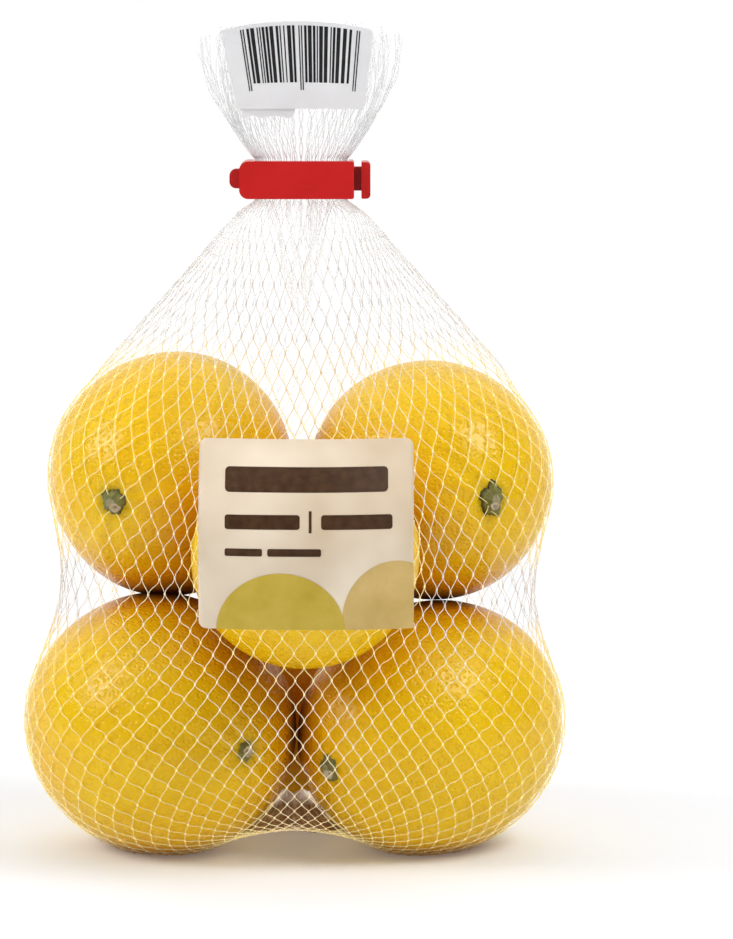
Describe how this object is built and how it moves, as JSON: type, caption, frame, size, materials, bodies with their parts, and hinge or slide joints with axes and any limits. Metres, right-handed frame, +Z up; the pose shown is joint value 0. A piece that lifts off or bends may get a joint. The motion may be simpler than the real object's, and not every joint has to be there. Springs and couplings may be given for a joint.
{
  "type": "net bag of lemons",
  "caption": "Clear plastic net packed with lemons, gathered at the top in a red clip, with a label on its front and a bar-marked tag on the loose tuft above the clip.",
  "frame": {"origin": "on the floor, under the middle of the bag's bounding box", "axes": "+Z up through the clip and the tuft, -Y out of the face with the label, +X to the right as the label is read"},
  "size_m": [0.1215, 0.1315, 0.185],
  "materials": {
    "net_and_lemons": "satin",
    "label": "satin",
    "tag": "satin",
    "clip": "gloss"
  },
  "bodies": {
    "root": {"net_bag": "net_and_lemons", "front_label": "label", "barcode_tag": "tag", "clip_body": "clip", "clip_tongue": "clip"}
  },
  "joints": []
}
